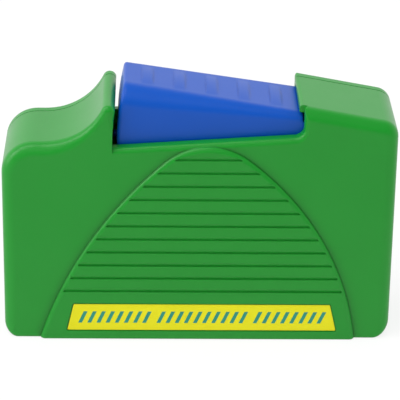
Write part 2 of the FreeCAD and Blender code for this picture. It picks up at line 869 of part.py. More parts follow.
def tooth_profile(teeth):
    """One tooth as (radius, angle from its middle) points, from root to tip and back."""
    pitch = gear_module * teeth / 2
    root = pitch - tooth_root * gear_module
    tip = pitch + tooth_tip * gear_module
    radii = (root, max(root, pitch * math.cos(pressure_angle)), pitch, (pitch + tip) / 2, tip)
    rising = [(radius, -flank_angle(teeth, radius)) for radius in sorted(set(radii))]
    falling = [(radius, -angle) for radius, angle in reversed(rising)]
    return rising + falling


def drive_gear():
    """Gear on the take-up axis, with the hub that the clutch spring grips."""
    toward_pivot = math.atan2(pivot_z - reel_z, pivot_x - takeup_x)
    points = []
    for index in range(gear_teeth):
        middle = toward_pivot + (index + 0.5) * 2 * math.pi / gear_teeth
        for radius, angle in tooth_profile(gear_teeth):
            turn = middle + angle
            points.append(at(takeup_x + radius * math.cos(turn), reel_z + radius * math.sin(turn)))
    wheel = prism(Part.makePolygon(points + points[:1]), sector_front_y, gear_back_y)
    hub_front = clutch_split + clutch_split_gap / 2
    hub = cylinder(takeup_x, reel_z, gear_hub, hub_front, sector_front_y)
    bore = cylinder(takeup_x, reel_z, spindle_radius + running_clearance, hub_front, gear_back_y)
    return wheel.fuse(hub).cut(bore).removeSplitter()


def below_pivot(radius, angle):
    """Point at a radius from the pivot, turned from straight down towards the left."""
    return at(pivot_x - radius * math.sin(angle), pivot_z - radius * math.cos(angle))


def drive_sector():
    """Toothed sector that turns the drive gear, with the long arm that slides the shutter."""
    step = 2 * math.pi / sector_teeth
    points = [at(pivot_x, pivot_z)]
    for index in range(-sector_teeth_before, sector_teeth_after + 1):
        middle = mesh_angle + index * step
        for radius, angle in tooth_profile(sector_teeth):
            points.append(below_pivot(radius, middle + angle))
    y0 = sector_front_y
    y1 = sector_back_y
    plate = prism(Part.makePolygon(points + points[:1]), y0, y1)
    half = arm_half_width
    bar = block(pivot_x - half, pivot_x + half, y0, y1, pivot_z - arm_length, pivot_z)
    bar.rotate(at(pivot_x, pivot_z), at(0, 0, 1), math.degrees(arm_lean))
    lug_low = pivot_z - sector_lug_half
    lug_high = pivot_z + sector_lug_half
    lug = block(peg_places[0] - half, pivot_x, y0, y1, lug_low, lug_high)
    end = cylinder(arm_end_x, arm_end_z, half, y0, y1)
    pin = cylinder(arm_end_x, arm_end_z, arm_pin_radius, y1, y1 + arm_pin_length)
    hub = cylinder(pivot_x, pivot_z, lever_arm_half, y0, y1)
    holes = [cylinder(pivot_x, pivot_z, spindle_radius + running_clearance, y0, y1)]
    for x in peg_places:
        holes.append(cylinder(x, pivot_z, peg_radius + pin_seat, y0, y1))
    return plate.fuse([bar, lug, end, pin, hub]).cut(holes).removeSplitter()


def reel(x):
    """Two-flange reel on its spindle bore, without any tape."""
    body = cylinder(x, reel_z, reel_core, -reel_half, reel_half)
    flanges = []
    for y0 in (-reel_half, reel_half - flange_thickness):
        flanges.append(cylinder(x, reel_z, flange_radius, y0, y0 + flange_thickness))
    bore = cylinder(x, reel_z, spindle_radius + running_clearance, -reel_half, reel_half)
    return body.fuse(flanges).cut(bore).removeSplitter()


def takeup_reel():
    """Take-up reel, hollowed at the back round the hub that the clutch spring grips."""
    recess = tube(takeup_x, reel_z, clutch_recess_radius, gear_hub, clutch_recess_floor, reel_half)
    split = clutch_split - clutch_split_gap / 2
    room = cylinder(takeup_x, reel_z, clutch_recess_radius, split, reel_half)
    return reel(takeup_x).cut([recess, room])


def tape_roll(x, radius):
    """Tape wound on a reel's core."""
    return tube(x, reel_z, radius, reel_core + roll_seat, -tape_half, tape_half)


def clutch_spring():
    """Wrap spring over the hubs of the gear and the take-up reel."""
    length = sector_front_y - clutch_recess_floor - 2 * clutch_split_gap
    spring = coil(gear_hub + clutch_fit + clutch_wire, clutch_wire, clutch_turns, length)
    spring.rotate(at(0, 0), at(1, 0), -90)
    spring.translate(at(takeup_x, reel_z, clutch_recess_floor + clutch_split_gap))
    return spring


def spindle(x, back_face):
    """Steel pin of a reel, from its socket in the shell to its socket in the cover."""
    front = -reel_half - side_clearance - spindle_socket
    return cylinder(x, reel_z, spindle_radius, front, back_face)


def tape_side(shift):
    """Points where one side of the tape leaves the rolls and the guides, left and right."""
    found = []
    for side, reel_x, roll in ((-1, supply_x, supply_roll_radius), (1, takeup_x, takeup_roll_radius)):
        guide = at(side * guide_x, guide_z)
        axis = at(reel_x, reel_z)
        near = guide_radius + shift
        far = roll + tape_roll_gap + tape_thickness - shift
        across = axis - guide
        turn = math.atan2(across.z, across.x) - side * math.acos((near + far) / across.Length)
        away = at(math.cos(turn), math.sin(turn))
        found.append((axis - away * far, guide + away * near, guide, guide - at(0, near)))
    return found


def cleaning_tape():
    """Tape from the supply roll, down under the two guides and the pad, to the take-up roll."""
    edges = []
    ends = []
    for shift in (0, tape_thickness):
        left, right = tape_side(shift)
        for leave, touch, guide, under in (left, right):
            edges.append(Part.makeLine(leave, touch))
            edges.append(arc_about(guide, touch, under))
        edges.append(Part.makeLine(left[3], right[3]))
        ends.append((left[0], right[0]))
    edges.append(Part.makeLine(ends[0][0], ends[1][0]))
    edges.append(Part.makeLine(ends[0][1], ends[1][1]))
    return prism(Part.Wire(Part.__sortEdges__(edges)), -tape_half, tape_half)


def guide_pin(x):
    """Steel pin that turns the tape under the pad."""
    return cylinder(x, guide_z, guide_radius, inner_front_y, reel_half)


def holder_middle():
    """Height of the pegs and the post that hold the pad holder."""
    return pad_top + holder_height / 2


def pad_holder():
    """Block that backs the pad, held on two pegs, with skirts that keep the shutter down."""
    top = pad_top + holder_height
    body = block(-holder_half_x, holder_half_x, inner_front_y, reel_half, pad_top, top)
    skirts = []
    low = shutter_top + holder_skirt_gap
    for y0 in (tape_room, -tape_room - holder_skirt):
        skirts.append(block(-holder_half_x, holder_half_x, y0, y0 + holder_skirt, low, pad_top))
    holes = []
    for x in (holder_peg_x, -holder_peg_x):
        radius = holder_peg_radius + holder_peg_clearance
        deep = inner_front_y + holder_peg_length + holder_peg_clearance
        holes.append(cylinder(x, holder_middle(), radius, inner_front_y, deep))
    return body.fuse(skirts).cut(holes).removeSplitter()


def tape_pad():
    """Soft pad that presses the tape towards the slots, rounded where the tape runs on and off."""
    outline = rounded_loop([
        (-pad_half_x, pad_bottom, pad_round),
        (pad_half_x, pad_bottom, pad_round),
        (pad_half_x, pad_top, 0),
        (-pad_half_x, pad_top, 0),
    ])
    return prism(outline, -tape_half, tape_half)


def slot_place(index):
    """Middle of a wiping slot from front to back."""
    return (index - 0.5) * slot_spacing


def slot_plate():
    """Plate in the floor with the two wiping slots, flared below to lead a connector in."""
    low = floor_z - plate_thickness
    half_x = plate_half_x - plate_clearance
    half_y = plate_half_y - plate_clearance
    plate = block(-half_x, half_x, -half_y, half_y, low, floor_z)
    for index in range(2):
        y = slot_place(index)
        half = slot_length / 2
        side = slot_width / 2
        plate = plate.cut(block(-half, half, y - side, y + side, low, floor_z))
    mouths = []
    for edge in plate.Edges:
        middle = edge.CenterOfMass
        inside = abs(middle.x) < half_x - same and abs(middle.y) < half_y - same
        if inside and abs(middle.z - low) < same:
            mouths.append(edge)
    return plate.makeChamfer(slot_chamfer, mouths)


def shutter():
    """Sliding plate over the slots, with two windows and the tab that the arm's pin moves."""
    half = shutter_half
    plate = block(shutter_left, shutter_right, -half, half, shutter_bottom, shutter_top)
    foot_left = arm_end_x - tab_half_width
    foot = block(foot_left, shutter_right, half, tab_back_y, shutter_bottom, shutter_top)
    tab_right = arm_end_x + tab_half_width
    tab = block(foot_left, tab_right, tab_front_y, tab_back_y, shutter_bottom, shutter_bottom + tab_height)
    windows = []
    reach = slot_length / 2 + shutter_window_margin
    side = slot_width / 2 + shutter_window_margin
    for index in range(2):
        y = slot_place(index)
        left = -shutter_travel - reach
        windows.append(block(left, left + 2 * reach, y - side, y + side, shutter_bottom, shutter_top))
    slot = arm_pin_radius + tab_slot_clearance
    low = arm_end_z - tab_slot_reach
    high = arm_end_z + tab_slot_reach
    windows.append(block(arm_end_x - slot, arm_end_x + slot, tab_front_y, tab_back_y, low, high))
    return plate.fuse([foot, tab]).cut(windows).removeSplitter()


def return_spring():
    """Coil spring between the shelf in the shell and the pad under the lever."""
    length = spring_pad_bottom - spring_top_gap - spring_shelf_top
    spring = coil(spring_radius, spring_wire, spring_turns, length)
    spring.translate(at(0, spring_shelf_top))
    return spring


def brake_spring():
    """Leaf spring that drags on the rim of the supply reel."""
    front = -reel_half
    return block(brake_x, brake_x + brake_thickness, front, front + brake_width, brake_bottom, brake_top)


def case_screws():
    """Four self-tapping screws through the cover into the shell's bosses."""
    seat = back_y - screw_recess_depth
    screws = []
    for x, z in screw_places:
        shank = cylinder(x, z, screw_radius, parting_y - screw_length, seat)
        head = cylinder(x, z, screw_head_radius, seat, seat + screw_head_height)
        screws.append(shank.fuse(head))
    return Part.makeCompound(screws)


nodes = {
    "front_shell": front_shell(),
    "rear_cover": rear_cover(),
    "front_label": front_label(),
    "lever": lever(),
    "pivot_pin": pivot_pin(),
    "return_spring": return_spring(),
    "drive_sector": drive_sector(),
    "drive_gear": drive_gear(),
    "clutch_spring": clutch_spring(),
    "takeup_reel": takeup_reel(),
    "takeup_roll": tape_roll(takeup_x, takeup_roll_radius),
    "supply_reel": reel(supply_x),
    "supply_roll": tape_roll(supply_x, supply_roll_radius),
    "takeup_spindle": spindle(takeup_x, inner_back_y),
    "supply_spindle": spindle(supply_x, inner_back_y),
    "brake_spring": brake_spring(),
    "cleaning_tape": cleaning_tape(),
    "left_guide_pin": guide_pin(-guide_x),
    "right_guide_pin": guide_pin(guide_x),
    "pad_holder": pad_holder(),
    "tape_pad": tape_pad(),
    "shutter": shutter(),
    "slot_plate": slot_plate(),
    "case_screws": case_screws(),
}

os.makedirs("parts", exist_ok=True)
for name, shape in nodes.items():
    shape.exportStep("parts/" + name + ".step")
    print(name, len(shape.Solids), "solids", round(shape.Volume), "mm3", shape.isValid())
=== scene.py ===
# %% [markdown]
# # A fibre optic cleaning box
# This is a hand-held cassette for cleaning fibre connectors: a green moulded case with an arch grip,
# a blue press lever under a hood, and a cleaning tape on two reels inside. Its parts come from CAD at
# their real size, in metres, so nothing here is moved or scaled. The lesson gives every part its
# finish, and remakes the few that need more than CAD holds: the screws with their threads, and the
# two coil springs.

# %% Load the packed parts
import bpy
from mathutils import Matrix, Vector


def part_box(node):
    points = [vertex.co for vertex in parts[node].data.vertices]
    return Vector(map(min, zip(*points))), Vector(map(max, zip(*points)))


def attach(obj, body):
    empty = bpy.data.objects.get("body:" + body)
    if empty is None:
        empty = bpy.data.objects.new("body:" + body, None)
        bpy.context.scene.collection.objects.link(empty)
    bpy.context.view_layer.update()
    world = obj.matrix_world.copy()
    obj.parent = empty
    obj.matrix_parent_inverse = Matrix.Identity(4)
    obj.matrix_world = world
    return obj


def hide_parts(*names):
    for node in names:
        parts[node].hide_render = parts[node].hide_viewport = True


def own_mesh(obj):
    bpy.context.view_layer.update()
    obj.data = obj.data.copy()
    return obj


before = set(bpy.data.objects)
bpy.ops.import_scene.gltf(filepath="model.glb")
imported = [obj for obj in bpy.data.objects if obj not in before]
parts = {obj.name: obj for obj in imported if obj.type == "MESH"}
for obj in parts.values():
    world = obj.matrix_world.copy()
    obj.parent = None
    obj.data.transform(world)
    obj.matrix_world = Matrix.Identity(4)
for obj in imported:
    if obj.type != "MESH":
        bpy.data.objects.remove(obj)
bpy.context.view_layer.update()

# %% [markdown]
# ## The camera
# The box is seen from the front and a little above, by a long lens that stands well back. A camera
# could be dragged about until the view looks right, but numbers can be repeated. So the view is noted
# as a product photographer would: how steeply the camera looks down, how far it is turned and rolled,
# and how far away it stands. Its three axes then follow from those angles.

# %% Place the camera
import bpy
import math
from mathutils import Matrix, Vector

mm = 0.001
look_down = math.radians(24.572)
camera_turn = math.radians(1.422)
camera_roll = math.radians(0.896)
camera_distance = 656.0 * mm
camera_aim = Vector((0, 0, 38 * mm))
nearest_seen = 10 * mm
sensor_width = 36.0
focal_length = 197.7
picture_shift = (0.0054, 0.0036)

ahead = Vector((math.sin(camera_turn) * math.cos(look_down),
                math.cos(camera_turn) * math.cos(look_down),
                -math.sin(look_down)))
right = Vector((math.cos(camera_turn), -math.sin(camera_turn), 0))
upright = Matrix((right, right.cross(ahead), -ahead)).transposed()
lens = bpy.data.cameras.new("camera")
lens.sensor_width = sensor_width
lens.lens = focal_length
lens.shift_x, lens.shift_y = picture_shift
lens.clip_start = nearest_seen
camera = bpy.data.objects.new("camera", lens)
camera.matrix_world = (Matrix.Translation(camera_aim - ahead * camera_distance)
                       @ (upright @ Matrix.Rotation(camera_roll, 3, "Z")).to_4x4())
scene = bpy.context.scene
scene.collection.objects.link(camera)
scene.camera = camera
print("camera at", [round(value, 3) for value in camera.matrix_world.translation])

# %% [markdown]
# ## Sums on shader sockets
# A finish is mostly arithmetic: a grain times a strength, one minus a mask. Wiring Math nodes by hand
# hides that, so this small class wraps a socket and lets Python's own operators add the nodes. Every
# other node comes from one method, which sets the node's settings first and its sockets after.

# %% A socket that understands arithmetic
class Socket:
    """An output socket of a node tree. Plain operators on it add Math nodes to the tree."""

    def __init__(self, tree, output=None):
        self.tree = tree
        self.output = output

    def node(self, kind, settings=None, values=None, out=0):
        """Add a node with its settings, then its socket values or links, and return one output."""
        made = self.tree.nodes.new(kind)
        for name, value in (settings or {}).items():
            setattr(made, name, value)
        for key, value in (values or {}).items():
            if isinstance(value, Socket):
                self.tree.links.new(value.output, made.inputs[key])
            else:
                made.inputs[key].default_value = value
        return Socket(self.tree, made.outputs[out])

    def maths(self, operation, first, second=0.0):
        """Add a Math node on one or two values."""
        return self.node("ShaderNodeMath", {"operation": operation}, {0: first, 1: second})

    def __add__(self, other):
        return self.maths("ADD", self, other)

    def __sub__(self, other):
        return self.maths("SUBTRACT", self, other)

    def __rsub__(self, other):
        return self.maths("SUBTRACT", other, self)

    def __mul__(self, other):
        return self.maths("MULTIPLY", self, other)

    def __mod__(self, other):
        return self.maths("FLOORED_MODULO", self, other)

    def __lt__(self, other):
        return self.maths("LESS_THAN", self, other)

    def __gt__(self, other):
        return self.maths("GREATER_THAN", self, other)

    def __abs__(self):
        return self.maths("ABSOLUTE", self)

    __radd__ = __add__
    __rmul__ = __mul__

    def at_most(self, limit):
        """The value, or the limit where the value is larger."""
        return self.maths("MINIMUM", self, limit)

    def between(self, low, high):
        """1 where the value lies between two limits, and 0 elsewhere."""
        return (self > low) * (self < high)

    def scaled(self, start, end):
        """The number start where the value is 0, and end where it is 1."""
        return start + self * (end - start)

    def spread(self, low, high, start, end):
        """The range from low to high carried evenly to start and end, and held beyond them."""
        limits = {"Value": self, "From Min": low, "From Max": high, "To Min": start, "To Max": end}
        return self.node("ShaderNodeMapRange", None, limits)

    def axis(self, name):
        """One coordinate, X, Y or Z, of a place or a direction."""
        return self.node("ShaderNodeSeparateXYZ", None, {0: self}, out=name)

    def mix(self, dark, light):
        """The colour dark where the value is 0, and light where it is 1."""
        colours = {"data_type": "RGBA"}
        return self.node("ShaderNodeMix", colours, {0: self, 6: dark, 7: light}, out=2)


print("operators ready:", [name for name in vars(Socket) if name.startswith("__r")])

# %% [markdown]
# ## The white room
# The box stands in a white studio. Turning the light up until the room clips to white would bleach
# the box too, so a Light Path node tells the rays apart. The camera sees plain white. Reflections see
# a bright wall behind the box and a dim ceiling, which gives the upper faces their satin shine and
# leaves the front its full colour. The light that falls on the box stays at a plain level, weaker
# from the front, so that a colour comes out about as it is written.

# %% White room
def rgba(red, green, blue):
    """A colour given by its light, with no transparency."""
    return (red, green, blue, 1)


white = rgba(1, 1, 1)
room_light = 0.75
front_dim = 0.8
brightest_way = (0.0, 0.8, -0.6)
wall_facing = (-0.6, 0.3)
wall_glow = (0.1, 1.0)


def ray_kinds(tree):
    """1 for a ray of the camera, and 1 for a ray that comes from a reflection or through glass."""
    eye = Socket(tree).node("ShaderNodeLightPath", out="Is Camera Ray")
    rays = eye.output.node.outputs
    mirrored = Socket(tree, rays["Is Glossy Ray"]) + Socket(tree, rays["Is Transmission Ray"])
    return eye, mirrored.at_most(1.0)


room = bpy.data.worlds.new("white_room")
room.use_nodes = True
room_tree = room.node_tree
backdrop = room_tree.nodes["Background"]
backdrop.inputs["Color"].default_value = white
eye, mirrored = ray_kinds(room_tree)
way = eye.node("ShaderNodeTexCoord", out="Generated")
facing = way.node("ShaderNodeVectorMath", {"operation": "DOT_PRODUCT"},
                  {0: way, 1: brightest_way}, out="Value")
wall = facing.spread(*wall_facing, *wall_glow)
frontward = way.axis("Y").at_most(0.0)
lighting = (1 - frontward * frontward * front_dim) * room_light
room_strength = eye + mirrored * wall + (1 - eye) * (1 - mirrored) * lighting
room_tree.links.new(room_strength.output, backdrop.inputs["Strength"])
scene.world = room
scene.view_settings.view_transform = "Standard"
print("room: white to the eye, light", room_light)

# %% [markdown]
# ## The floor
# The box stands on plain pale paper that runs out of sight. The camera sees it mostly as plain white,
# with a share of the real matt surface left in, which keeps the shadow under the box. In reflections
# it is darker in front of the box than behind it, as paper is that rises towards a lit wall. It lies
# a hair under the box, so that no two faces share a plane.

# %% White floor
import numpy as np

floor_half = 3.0
floor_drop = -0.05 * mm
floor_white = 0.8
floor_colour = rgba(0.95, 0.95, 0.95)
paper_depth = (-0.1, 0.2)
paper_glow = (0.42, 1.0)

floor_corners = np.array(((-1, -1, 0), (1, -1, 0), (1, 1, 0), (-1, 1, 0))) * floor_half
floor_mesh = bpy.data.meshes.new("floor")
floor_mesh.from_pydata((floor_corners + (0, 0, floor_drop)).tolist(), [], [(0, 1, 2, 3)])
floor = bpy.data.objects.new("floor", floor_mesh)
scene.collection.objects.link(floor)
floor_finish = bpy.data.materials.new("white_floor")
floor_finish.use_nodes = True
floor_tree = floor_finish.node_tree
eye, mirrored = ray_kinds(floor_tree)
matt = eye.node("ShaderNodeBsdfDiffuse", None, {"Color": floor_colour})
depth = eye.node("ShaderNodeTexCoord", out="Object").axis("Y")
shine = eye + mirrored * depth.spread(*paper_depth, *paper_glow)
glow = eye.node("ShaderNodeEmission", None, {"Color": white, "Strength": shine})
shown = eye * floor_white + mirrored
surface = eye.node("ShaderNodeMixShader", None, {0: shown, 1: matt, 2: glow})
floor_tree.links.new(surface.output, floor_tree.nodes["Material Output"].inputs["Surface"])
floor_mesh.materials.append(floor_finish)
print("floor:", 2 * floor_half, "m wide,", floor_white, "of it plain white")

# %% [markdown]
# ## Soft lamps
# A studio lights a box like this with large soft boxes, and four area lamps stand for them here. A
# long strip high on the left and a smaller lamp beside the box are mirrored in the rounded edges as
# light stripes. The front and right lamps only fill in: they are kept out of reflections, where they
# would lie as pale patches on the flat faces.

# %% Four soft lamps
def soft_lamp(name, place, size, watts, reflected=True):
    """A rectangular lamp at a place, turned to face the middle of the box."""
    light = bpy.data.lights.new(name, "AREA")
    light.shape = "RECTANGLE"
    light.size, light.size_y = size
    light.energy = watts
    lamp = bpy.data.objects.new(name, light)
    lamp.location = place
    lamp.rotation_euler = (camera_aim - Vector(place)).to_track_quat("-Z", "Y").to_euler()
    lamp.visible_glossy = reflected
    scene.collection.objects.link(lamp)
    return lamp


lamps = [
    soft_lamp("strip_lamp", (-0.5, -0.08, 0.78), (0.25, 1.12), 2.6),
    soft_lamp("front_lamp", (-0.25, -0.52, 0.8), (0.9, 0.8), 4.8, reflected=False),
    soft_lamp("left_lamp", (-0.9, -0.15, 0.35), (0.5, 0.6), 1.3),
    soft_lamp("right_lamp", (0.9, -0.1, 0.45), (0.5, 0.6), 1.5, reflected=False),
]
print("lamps:", [lamp.name for lamp in lamps])

# %% [markdown]
# ## Tools for finishes
# Every finish starts in the same way: a Principled shader whose constant sockets are set once, and
# Object coordinates, which are the CAD's own metres. A pattern then has a real size and sits still on
# its part. Painted textures could do this too, but they need an unwrapped surface and blur up close,
# where noise and sums stay sharp.

# %% Tools for a finish
def new_finish(name, constants):
    """A material with the sockets that are the same all over set, and its Object coordinates."""
    material = bpy.data.materials.new(name)
    material.use_nodes = True
    shader = material.node_tree.nodes["Principled BSDF"]
    for socket, value in constants.items():
        shader.inputs[socket].default_value = value
    place = Socket(material.node_tree).node("ShaderNodeTexCoord", out="Object")
    return material, shader, place


def noise(place, size, detail=2.0):
    """Noise from 0 to 1 with features of that size in metres."""
    values = {"Vector": place, "Scale": 1 / size, "Detail": detail}
    return place.node("ShaderNodeTexNoise", None, values)


def bumped(height, depth, **normal):
    """Normal of a surface whose height, from 0 to 1, stands for that depth in metres."""
    values = {"Height": height, "Distance": depth, **normal}
    return height.node("ShaderNodeBump", None, values, out="Normal")


def link(shader, **sockets):
    """Lead values that change over the surface to the shader's sockets."""
    for name, value in sockets.items():
        shader.id_data.links.new(value.output, shader.inputs[name.replace("_", " ")])


def dress(material, *names):
    """Give CAD parts a finish in place of the plain one that they came with."""
    for name in names:
        parts[name].data.materials.clear()
        parts[name].data.materials.append(material)
    print(material.name, "on", ", ".join(names))


print("tools ready:", [tool.__name__ for tool in (new_finish, noise, bumped, link, dress)])

# %% [markdown]
# ## The foot of the grip
# The grip stands a little proud of the case, and a soft dark line runs round its foot, where little
# light gets in. The step itself is in the CAD part, but soft light alone draws it too faintly at this
# size, so the shade is painted into the case's colour. An Ambient Occlusion node finds how much sky
# each spot sees, and the spot's depth keeps the painted shade to the grip: full at its foot, and a
# small share in its grooves.

# %% Painted shade at the foot of the grip
grip_face = -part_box("front_shell")[0].y
foot_zone = grip_face - 1.5 * mm
groove_zone = grip_face - 0.7 * mm
groove_share = 0.12
corner_reach = 2.5 * mm
corner_depth = 2.5
# how dark the painted shade is, as a share of the plastic's dark colour
corner_shade = 0.4
sky_samples = 8


def grip_painted_shade(place):
    """Painted shade: 1 in the corner at the foot of the grip, and a share of that in its grooves."""
    depth = abs(place.axis("Y"))
    zone = depth.between(foot_zone, groove_zone) + (depth > groove_zone) * groove_share
    sky = place.node("ShaderNodeAmbientOcclusion", {"only_local": True, "samples": sky_samples},
                     {"Distance": corner_reach}, out="AO")
    hidden = (1 - sky) * corner_depth
    return hidden.at_most(1.0) * zone


print("grip shaded from", round(foot_zone / mm, 2), "to", round(grip_face / mm, 2), "mm off the middle")

# %% [markdown]
# ## Moulded plastic
# The case and the lever are satin moulded plastic. Up close such a surface has a fine spark-eroded
# grain from the mould, its colour and gloss drift a little where the melt flowed, and no edge is quite
# sharp. One function makes this finish for every plastic part: slow noises move the colour and the
# gloss, a fine one gives the grain as a bump, and a Bevel node turns the light softly round the
# edges, which costs no extra faces.

# %% Moulded finish of the plastic parts
flow_size = 22 * mm
gloss_size = 9 * mm
grain_size = 0.45 * mm
grain_detail = 3.0
edge_samples = 6
satin = (0.28, 0.35)


def moulded(name, dark, light, rough, grain_depth, softness=0.45 * mm, ior=1.5, corners=None):
    """Satin plastic between two near colours, with soft edges, a mould grain, and painted shade in
    corners where a mask for it is given.
    """
    material, shader, place = new_finish(name, {"IOR": ior})
    colour = noise(place, flow_size).mix(dark, light)
    # painted shade: where the mask is 1, the colour is mixed towards a dimmer copy of the dark colour
    if corners:
        colour = corners(place).mix(colour, rgba(*(corner_shade * value for value in dark[:3])))
    grain = noise(place, grain_size, grain_detail)
    soft_edges = place.node("ShaderNodeBevel", {"samples": edge_samples}, {"Radius": softness})
    link(shader,
         Base_Color=colour,
         Roughness=noise(place, gloss_size).scaled(*rough),
         Normal=bumped(grain, grain_depth, Normal=soft_edges))
    return material


# the case's colour carries painted shade at the foot of its grip
case_green = moulded("case_green", rgba(0.005, 0.252, 0.016), rgba(0.008, 0.27, 0.02),
                     satin, 0.012 * mm, corners=grip_painted_shade)
lever_blue = moulded("lever_blue", rgba(0.0, 0.07, 0.43), rgba(0.001, 0.077, 0.455),
                     satin, 0.012 * mm, softness=1.6 * mm, ior=1.4)
white_plastic = moulded("white_plastic", rgba(0.7, 0.7, 0.67), rgba(0.76, 0.76, 0.73),
                        (0.4, 0.5), 0.01 * mm)
black_plastic = moulded("black_plastic", rgba(0.012, 0.012, 0.013), rgba(0.018, 0.018, 0.02),
                        (0.42, 0.52), 0.015 * mm)
dress(case_green, "front_shell", "rear_cover")
dress(lever_blue, "lever")
dress(white_plastic, "drive_sector", "drive_gear", "takeup_reel", "supply_reel", "pad_holder")
dress(black_plastic, "shutter", "slot_plate")

# %% [markdown]
# ## The label
# A yellow film label lies at the foot of the grip, printed in blue-green with three groups of slanted
# bars. The bars could be thin pieces, but ink has no thickness to speak of, so a mask does it: leaning
# the length coordinate by the height slants the bars, a remainder repeats them, and limits in length
# and height keep them in their groups.

# %% Printed label
label_low, label_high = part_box("front_label")
bar_pitch = 2.72 * mm
bar_width = 1.15 * mm
bar_height = 3.8 * mm
bar_lean = 0.45
bar_groups = ((4.0 * mm, 8), (27.3 * mm, 10), (56.0 * mm, 8))  # where each starts, and its bars
print_colour = rgba(0.022, 0.26, 0.19)
yellow_dark = rgba(0.73, 0.68, 0.002)
yellow_light = rgba(0.77, 0.72, 0.005)
yellow_drift = 14 * mm
film_ripple = 1.2 * mm
film_detail = 4.0
film_depth = 0.01 * mm
film_rough = (0.42, 0.52)
ink_gloss = 0.08


def printed_label():
    """Yellow film with slanted bars. In each group the ink lies where the length, less the lean
    times the height, leaves a remainder by the pitch that is below the width of a bar."""
    material, shader, place = new_finish("label_yellow", {"Specular IOR Level": 0.3})
    height = place.axis("Z") - (label_low.z + label_high.z) / 2
    leaning = place.axis("X") - label_low.x - height * bar_lean
    ink = 0.0
    for start, count in bar_groups:
        bars = ((leaning - start) % bar_pitch) < bar_width
        ink = ink + bars * leaning.between(start, start + count * bar_pitch)
    ink = ink * (abs(height) < bar_height / 2)
    film = noise(place, film_ripple, film_detail)
    yellow = noise(place, yellow_drift).mix(yellow_dark, yellow_light)
    link(shader,
         Base_Color=ink.mix(yellow, print_colour),
         Roughness=film.scaled(*film_rough) - ink * ink_gloss,
         Normal=bumped(film, film_depth))
    return material


dress(printed_label(), "front_label")

# %% [markdown]
# ## Tape and pad
# Behind the shutter a woven tape runs over a soft foam pad. Real threads would take thousands of
# faces that nobody could see at this size, so the weave is two crossed sine waves, one along the
# length of the case and one across it. The cells of the foam could be cut as holes, but a texture of
# distances to scattered points gives the same look at this size.

# %% Woven tape and foam pad
thread_pitch = 0.25 * mm
thread_depth = 0.04 * mm
fibre_size = 0.3 * mm
fibre_detail = 4.0
cloth_rough = (0.75, 0.9)
cell_size = 0.5 * mm
cell_depth = 0.08 * mm
foam_rough = (0.7, 0.9)


def woven(name):
    """White cloth: the height is the product of two sine waves, one thread wide, along X and Y."""
    material, shader, place = new_finish(name, {"Specular IOR Level": 0.2})
    turns = [place.axis(axis) * (2 * math.pi / thread_pitch) for axis in ("X", "Y")]
    waves = [turn.maths("SINE", turn) for turn in turns]
    weave = 0.5 + waves[0] * waves[1] * 0.5
    fibre = noise(place, fibre_size, fibre_detail)
    link(shader,
         # the colour follows the weave as well as the fibre, lighter on the crests and darker in the
         # dips: painted shade of the threads, mixed with fibre tone
         Base_Color=(weave * 0.5 + fibre * 0.5).mix(rgba(0.72, 0.72, 0.71), rgba(0.9, 0.9, 0.88)),
         Roughness=fibre.scaled(*cloth_rough),
         Normal=bumped(weave, thread_depth))
    return material


def foam(name):
    """Dark rubber foam: the height is the distance to the nearest of many scattered points."""
    material, shader, place = new_finish(name, {"Specular IOR Level": 0.3})
    cells = place.node("ShaderNodeTexVoronoi", None, {"Vector": place, "Scale": 1 / cell_size})
    link(shader,
         # the colour follows the cells, darkest where they dip: painted shade in the pores
         Base_Color=cells.mix(rgba(0.02, 0.02, 0.022), rgba(0.05, 0.05, 0.053)),
         Roughness=cells.scaled(*foam_rough),
         Normal=bumped(cells, cell_depth))
    return material


dress(woven("tape_cloth"), "cleaning_tape", "takeup_roll", "supply_roll")
dress(foam("pad_rubber"), "tape_pad")

# %% [markdown]
# ## Drawn steel
# The pins and the springs are drawn steel, which is pulled through a die and keeps fine streaks along
# its length. Anisotropic gloss could show them too, but it needs a direction at every spot. A noise
# whose coordinates are shrunk along the part, by a Mapping node, gives the streaks directly.

# %% Pins and leaf spring
streak_size = 0.15 * mm
streak_detail = 3.0
streak_depth = 0.004 * mm
steel_rough = (0.22, 0.38)


def drawn_steel(name, stretch):
    """Steel with streaks: noise on coordinates shrunk along the drawing direction."""
    material, shader, place = new_finish(name, {"Metallic": 1.0})
    drawn = place.node("ShaderNodeMapping", None, {"Vector": place, "Scale": stretch})
    streaks = noise(drawn, streak_size, streak_detail)
    link(shader,
         Base_Color=streaks.mix(rgba(0.45, 0.45, 0.46), rgba(0.6, 0.6, 0.61)),
         Roughness=streaks.scaled(*steel_rough),
         Normal=bumped(streaks, streak_depth))
    return material


dress(drawn_steel("pin_steel", (1, 0.05, 1)),
      "pivot_pin", "takeup_spindle", "supply_spindle", "left_guide_pin", "right_guide_pin")
dress(drawn_steel("leaf_steel", (1, 1, 0.05)), "brake_spring")

# %% [markdown]
# ## Pieces from rings of points
# The springs and the screws are all rings of points, one after another along a line. Modifiers could
# turn such shapes too, but with the points in one array the whole surface is a formula. These helpers
# join the rings with faces that look outwards, close both ends, and put the result into a mesh that
# rides on its body.

# %% Rings to a closed mesh
def closed_tubes(points):
    """Faces of one or more tubes, each a grid of rings, with one flat cap at each end. A quad joins
    a point and its neighbour on a ring to the same two on the next, and each ring ends where it
    begins."""
    rows, columns = points.shape[-3:-1]
    row, column = np.meshgrid(np.arange(rows - 1), np.arange(columns), indexing="ij")
    after = (column + 1) % columns
    corners = (row * columns + column, (row + 1) * columns + column,
               (row + 1) * columns + after, row * columns + after)
    quads = np.stack(corners, axis=-1).reshape(-1, 4)
    ring = np.arange(columns)
    caps = np.stack((ring, ring[::-1] + (rows - 1) * columns))
    firsts = np.arange(0, points.size // 3, rows * columns)[:, None, None]
    return (firsts + quads).reshape(-1, 4).tolist() + (firsts + caps).reshape(-1, columns).tolist()


